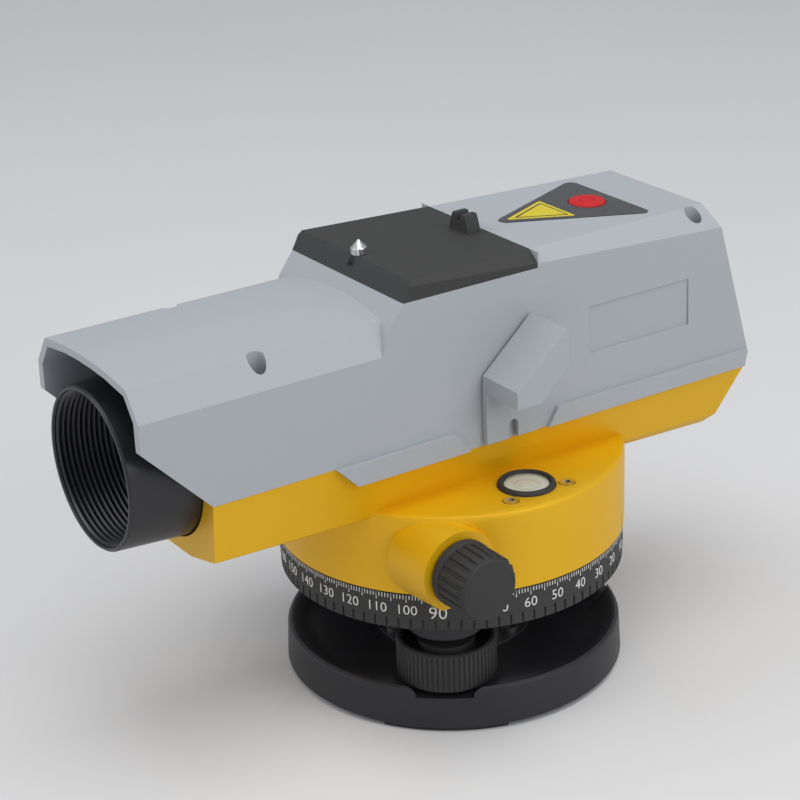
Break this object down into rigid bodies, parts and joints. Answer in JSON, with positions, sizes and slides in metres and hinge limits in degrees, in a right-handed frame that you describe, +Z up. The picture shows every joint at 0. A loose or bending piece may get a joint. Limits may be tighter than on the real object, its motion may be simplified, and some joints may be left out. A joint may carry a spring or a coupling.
{
  "type": "automatic level",
  "caption": "Automatic level with laser sight: hooded telescope over a levelling base, graduated circle, tangent screw, circular level with mirror and battery case.",
  "frame": {"origin": "centre of the tripod thread, on the plane of the base seat", "axes": "+Z up along the vertical axis, out of the top of the instrument; -Y along the line of sight, towards the target; +X to the side of the circular level"},
  "size_m": [0.1282, 0.2212, 0.1406],
  "materials": {
    "base_black": "satin black paint",
    "blackened_steel": "blackened",
    "steel": "ground",
    "plated_steel": "nickel plated",
    "brass": "turned",
    "knob_black": "moulded, satin",
    "circle_black": "satin with white marks",
    "body_yellow": "satin paint",
    "cover_grey": "fine moulded texture",
    "plate_black": "moulded, satin",
    "label_grey": "printed film",
    "button_red": "soft touch",
    "glass": "coated optical glass",
    "vial_glass": "clear",
    "vial_cream": "cream",
    "mirror": "silvered",
    "anodised": "black anodised",
    "aluminium": "machined",
    "board_green": "solder mask",
    "cell_blue": "shrink sleeve"
  },
  "bodies": {
    "base": {"base_plate": "base_black", "spring_plate": "blackened_steel", "spring_plate_screws": "blackened_steel"},
    "foot_ball_a": {"foot_ball_a": "steel"},
    "foot_screw_a": {"foot_spindle_a": "brass", "foot_knob_a": "knob_black"},
    "tribrach": {"tribrach": "base_black", "axis_sleeve": "brass", "circle_washer": "steel", "foot_ball_b": "steel", "foot_ball_c": "steel"},
    "foot_screw_b": {"foot_spindle_b": "brass", "foot_knob_b": "knob_black"},
    "foot_screw_c": {"foot_spindle_c": "brass", "foot_knob_c": "knob_black"},
    "circle": {"circle_ring": "circle_black"},
    "worm_wheel": {"worm_wheel": "brass", "clutch_washer": "steel"},
    "tangent_drive": {"tangent_shaft": "steel", "tangent_knob_left": "knob_black", "tangent_knob_right": "knob_black"},
    "focus_drive": {"focus_pinion": "steel", "focus_knob": "knob_black"},
    "focus_carriage": {"focus_carriage": "brass", "focus_lens": "glass"},
    "pendulum": {"pendulum": "brass", "pendulum_prism": "glass"},
    "power_button": {"power_button": "button_red"},
    "eyepiece_cell": {"eyepiece_lenses": "glass"},
    "eyepiece_ring": {"eyepiece_ring": "knob_black"},
    "alidade": {"lower_body": "body_yellow", "axis_spindle": "steel", "axis_retainer": "steel", "tangent_bushes": "brass", "vial_bezel": "knob_black", "vial_base": "vial_cream", "vial_glass": "vial_glass", "vial_screws": "plated_steel", "top_cover": "cover_grey", "cover_screws": "blackened_steel", "sight_plate": "plate_black", "front_sight": "plated_steel", "label_panel": "label_grey", "control_board": "board_green", "battery_tray": "plate_black", "batteries": "cell_blue", "mirror_hood": "cover_grey", "bubble_mirror": "mirror", "lens_barrel": "anodised", "objective_lens": "glass", "objective_ring": "anodised", "telescope_tube": "anodised", "focus_bush": "brass", "compensator_frame": "aluminium", "roof_prism": "glass", "laser_module": "brass", "laser_bracket": "anodised", "beam_splitter": "glass", "reticle": "brass", "eyepiece_tube": "anodised"}
  },
  "joints": [
    {"name": "tribrach_tilt", "type": "hinge", "parent": "base", "child": "tribrach", "pos_m": [-0.0145, 0.01133, 0.0074], "axis": [-0.6157, -0.788, 0], "range_deg": [-0.8, 2.5]},
    {"name": "foot_ball_a_slide", "type": "slide", "parent": "tribrach", "child": "foot_ball_a", "axis": [0, 0, 1], "range_m": [-0.00251, 0.00087]},
    {"name": "foot_screw_a_turn", "type": "hinge", "parent": "foot_ball_a", "child": "foot_screw_a", "pos_m": [0.029, -0.02266, 0.0187], "axis": [0, 0, 1], "range_deg": [-1161.1, 375]},
    {"name": "foot_screw_b_turn", "type": "hinge", "parent": "tribrach", "child": "foot_screw_b", "pos_m": [0.00512, 0.03644, 0.0187], "axis": [0, 0, 1], "range_deg": [-540, 540]},
    {"name": "foot_screw_c_turn", "type": "hinge", "parent": "tribrach", "child": "foot_screw_c", "pos_m": [-0.03412, -0.01379, 0.0187], "axis": [0, 0, 1], "range_deg": [-540, 540]},
    {"name": "circle_turn", "type": "hinge", "parent": "tribrach", "child": "circle", "pos_m": [0, 0, 0.041], "axis": [0, 0, 1], "continuous": true},
    {"name": "clutch_turn", "type": "hinge", "parent": "tribrach", "child": "worm_wheel", "pos_m": [0, 0, 0.0562], "axis": [0, 0, 1], "continuous": true},
    {"name": "fine_turn", "type": "hinge", "parent": "worm_wheel", "child": "alidade", "pos_m": [0, 0, 0.06], "axis": [0, 0, 1], "continuous": true},
    {"name": "tangent_turn", "type": "hinge", "parent": "alidade", "child": "tangent_drive", "pos_m": [0, -0.0315, 0.0562], "axis": [1, 0, 0], "continuous": true},
    {"name": "focus_slide", "type": "slide", "parent": "alidade", "child": "focus_carriage", "axis": [0, 1, 0], "range_m": [-0.011, 0.011]},
    {"name": "focus_turn", "type": "hinge", "parent": "alidade", "child": "focus_drive", "pos_m": [-0.035, -0.005, 0.099], "axis": [1, 0, 0], "range_deg": [-130, 130]},
    {"name": "compensator_swing", "type": "hinge", "parent": "alidade", "child": "pendulum", "pos_m": [0, 0.027, 0.1128], "axis": [1, 0, 0], "range_deg": [-0.5, 0.5]},
    {"name": "button_press", "type": "slide", "parent": "alidade", "child": "power_button", "axis": [0, 0, -1], "range_m": [0, 0.0007], "stiffness_N_per_m": 1500, "springref_m": -0.0002},
    {"name": "eyepiece_slide", "type": "slide", "parent": "alidade", "child": "eyepiece_cell", "axis": [0, 1, 0], "range_m": [-0.001, 0.001]},
    {"name": "diopter_turn", "type": "hinge", "parent": "alidade", "child": "eyepiece_ring", "pos_m": [0, 0.098, 0.0942], "axis": [0, 1, 0], "range_deg": [-125, 125]}
  ],
  "couplings": [
    {"joint": "foot_ball_a_slide", "follows": "tribrach_tilt", "m_per_rad": -0.0552},
    {"joint": "foot_screw_a_turn", "follows": "tribrach_tilt", "ratio": -462.44},
    {"joint": "tangent_turn", "follows": "fine_turn", "ratio": 55},
    {"joint": "focus_turn", "follows": "focus_slide", "rad_per_m": 200},
    {"joint": "diopter_turn", "follows": "eyepiece_slide", "rad_per_m": 2094.4}
  ]
}
